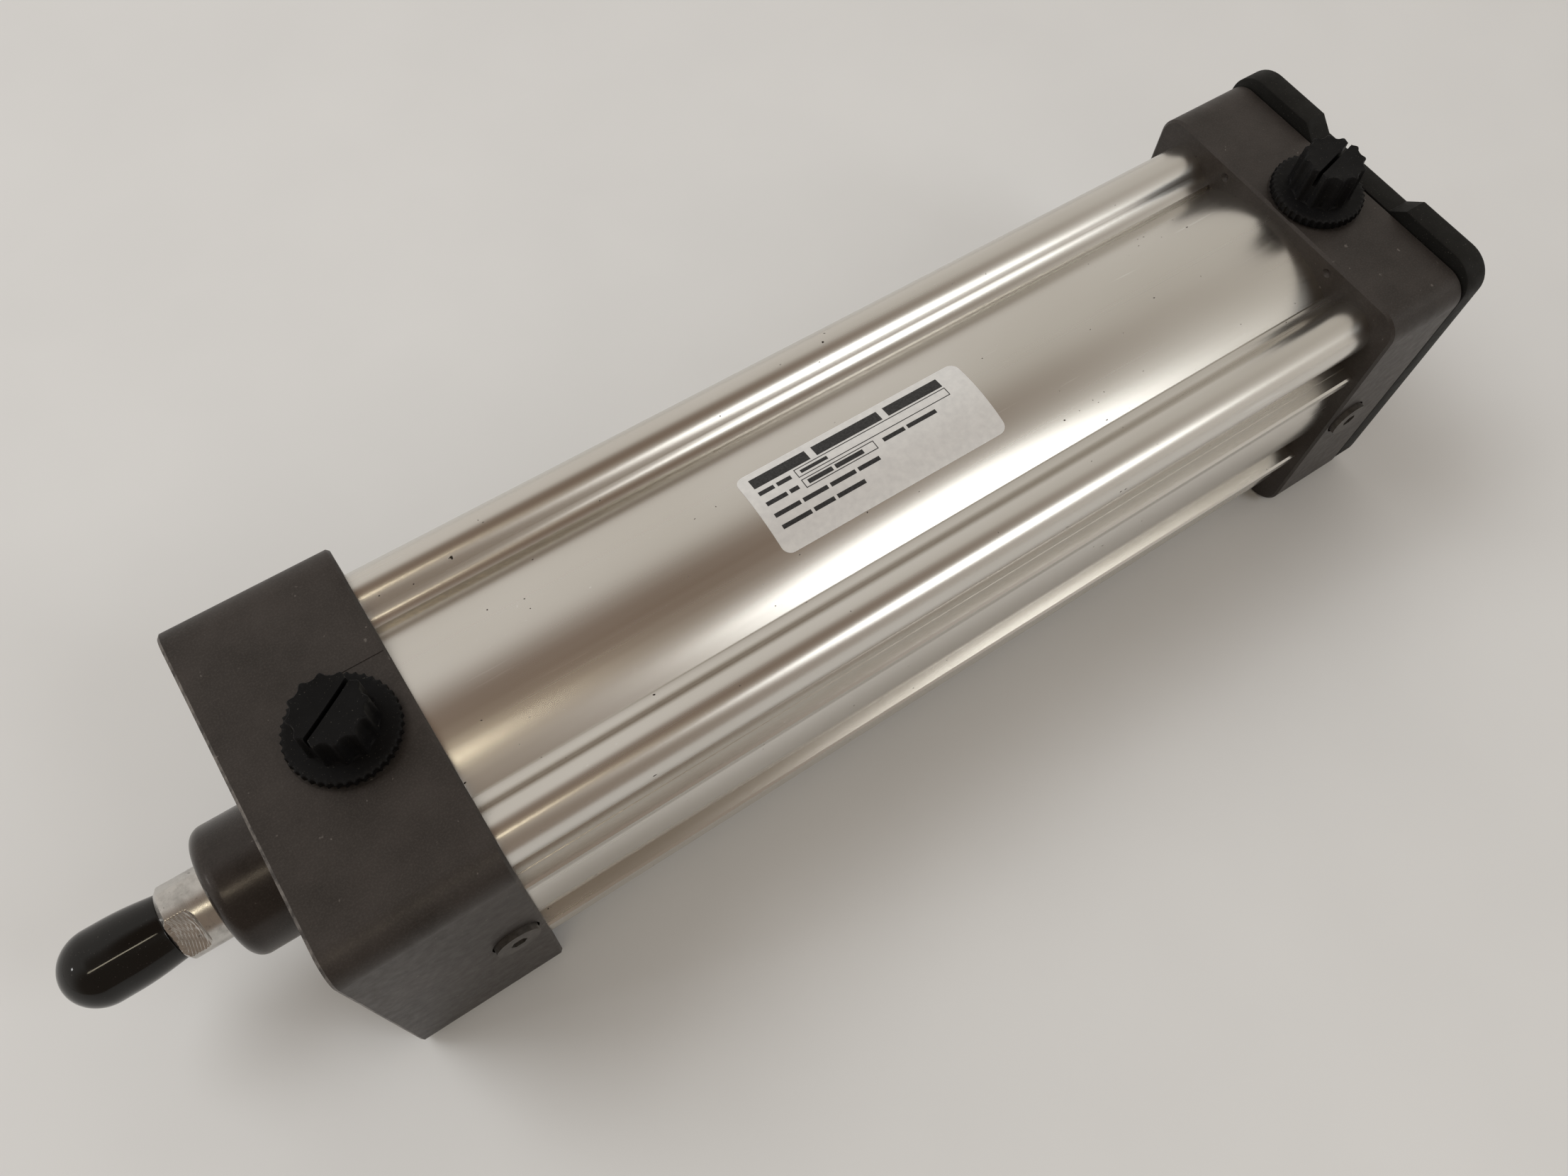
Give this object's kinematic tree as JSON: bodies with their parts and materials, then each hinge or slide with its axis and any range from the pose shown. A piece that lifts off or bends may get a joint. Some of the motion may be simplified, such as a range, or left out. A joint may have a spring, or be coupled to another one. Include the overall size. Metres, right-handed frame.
{
  "type": "pneumatic cylinder",
  "caption": "Double-acting pneumatic cylinder with a profiled aluminium tube, square dark heads, round pilot boss, capped rod thread, plugged ports and a black rear plate.",
  "frame": {"origin": "centre of the front head's mounting face, on the rod axis", "axes": "+X along the cylinder from the rod end to the cap end, +Z towards the ports, -Y towards the cushion screws"},
  "size_m": [0.3259, 0.0775, 0.0877],
  "materials": {
    "head": "dark hard anodised, satin",
    "tube": "clear anodised extrusion, satin",
    "bronze": "machined bearing bronze",
    "seal": "black nitrile",
    "cushion_seal": "green polyurethane",
    "screw": "black oxide steel",
    "plate": "matte black",
    "label": "silver film with black rules",
    "wear_band": "bronze-filled band",
    "piston_aluminium": "machined",
    "magnet": "plastic-bonded magnet",
    "rod_steel": "ground and hard chromed steel",
    "vinyl": "dip-moulded glossy vinyl",
    "plug": "moulded black plastic",
    "head_screw": "dark plated steel"
  },
  "bodies": {
    "barrel": {"front_head": "head", "rear_head": "head", "profile_tube": "tube", "rod_gland": "head", "rod_bushing": "bronze", "rod_seal": "seal", "rod_wiper": "seal", "head_o_rings": "seal", "cushion_seals": "cushion_seal", "front_head_screws": "screw", "rear_head_screws": "screw", "rear_plate": "plate", "rear_plate_screws": "screw", "rating_label": "label"},
    "seal_set": {"piston_seals": "seal", "piston_wear_band": "wear_band"},
    "rod": {"piston": "piston_aluminium", "piston_magnet": "magnet", "piston_rod": "rod_steel", "front_cushion_sleeve": "rod_steel", "rear_cushion_spear": "rod_steel"},
    "thread_cap": {"rod_thread_cap": "vinyl"},
    "front_plug": {"front_port_plug": "plug"},
    "rear_plug": {"rear_port_plug": "plug"},
    "front_needle": {"front_cushion_screw": "head_screw"},
    "rear_needle": {"rear_cushion_screw": "head_screw"}
  },
  "joints": [
    {"name": "rod_slide", "type": "slide", "parent": "barrel", "child": "seal_set", "axis": [-1, 0, 0], "range_m": [0, 0.1778]},
    {"name": "rod_turn", "type": "hinge", "parent": "seal_set", "child": "rod", "pos_m": [0, 0, 0], "axis": [1, 0, 0], "continuous": true},
    {"name": "cap_pull", "type": "slide", "parent": "rod", "child": "thread_cap", "axis": [-1, 0, 0], "range_m": [0, 0.03]},
    {"name": "front_plug_out", "type": "slide", "parent": "barrel", "child": "front_plug", "axis": [0, 0, 1], "range_m": [0, 0.02]},
    {"name": "rear_plug_out", "type": "slide", "parent": "barrel", "child": "rear_plug", "axis": [0, 0, 1], "range_m": [0, 0.02]},
    {"name": "front_needle_turn", "type": "hinge", "parent": "barrel", "child": "front_needle", "pos_m": [0.0279, -0.0381, 0], "axis": [0, -1, 0], "range_deg": [0, 720]},
    {"name": "rear_needle_turn", "type": "hinge", "parent": "barrel", "child": "rear_needle", "pos_m": [0.2556, -0.0381, 0], "axis": [0, -1, 0], "range_deg": [0, 720]}
  ]
}
